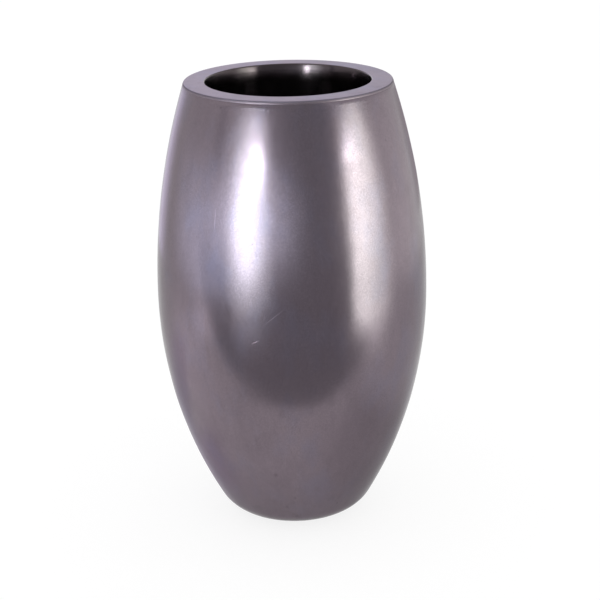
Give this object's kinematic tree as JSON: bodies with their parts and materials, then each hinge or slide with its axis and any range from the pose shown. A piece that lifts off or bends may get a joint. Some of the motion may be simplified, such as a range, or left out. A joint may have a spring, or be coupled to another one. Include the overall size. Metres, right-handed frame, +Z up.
{
  "type": "floor planter",
  "caption": "Tall barrel-shaped metal floor planter with a wide flat rim, a dark neck and a lift-out planting insert with wire handles.",
  "frame": {"origin": "middle of the footprint, on the floor under the rubber feet", "axes": "+Z up along the body's axis; +X towards the right handle; the camera of the picture looks along +Y"},
  "size_m": [0.4499, 0.45, 0.75],
  "materials": {
    "shell_metal": "satin burnished metal, warm pewter grey, faintly mottled",
    "rim_metal": "satin metal, a little duller than the side",
    "neck_gloss": "glossy near-black lacquer",
    "insert_plastic": "matt black moulded plastic",
    "drain_plastic": "black moulded plastic",
    "plywood": "sealed plywood",
    "concrete": "rough cast concrete",
    "rubber": "matt black rubber",
    "steel": "bright zinc-plated steel"
  },
  "bodies": {
    "planter": {"outer_shell": "shell_metal", "rim_ring": "rim_metal", "support_ring": "plywood", "neck_sleeve": "neck_gloss", "base_disc": "plywood", "ballast_disc": "concrete", "drain_bush": "drain_plastic", "drain_seal": "rubber", "drain_nut": "drain_plastic", "rubber_feet": "rubber", "foot_screws": "steel"},
    "insert": {"insert_pot": "insert_plastic", "handle_plates": "steel", "plate_screws": "steel"},
    "left_grip": {"handle_left": "steel"},
    "right_grip": {"handle_right": "steel"},
    "plug": {"drain_plug": "rubber"}
  },
  "joints": [
    {"name": "insert_lift", "type": "slide", "parent": "planter", "child": "insert", "axis": [0, 0, 1], "range_m": [0, 0.43]},
    {"name": "left_grip_swing", "type": "hinge", "parent": "insert", "child": "left_grip", "pos_m": [-0.10321, 0, 0.665], "axis": [0, -1, 0], "range_deg": [0, 205]},
    {"name": "right_grip_swing", "type": "hinge", "parent": "insert", "child": "right_grip", "pos_m": [0.10321, 0, 0.665], "axis": [0, 1, 0], "range_deg": [0, 205]},
    {"name": "drain_plug_pull", "type": "slide", "parent": "planter", "child": "plug", "axis": [0, 0, 1], "range_m": [0, 0.03]}
  ]
}
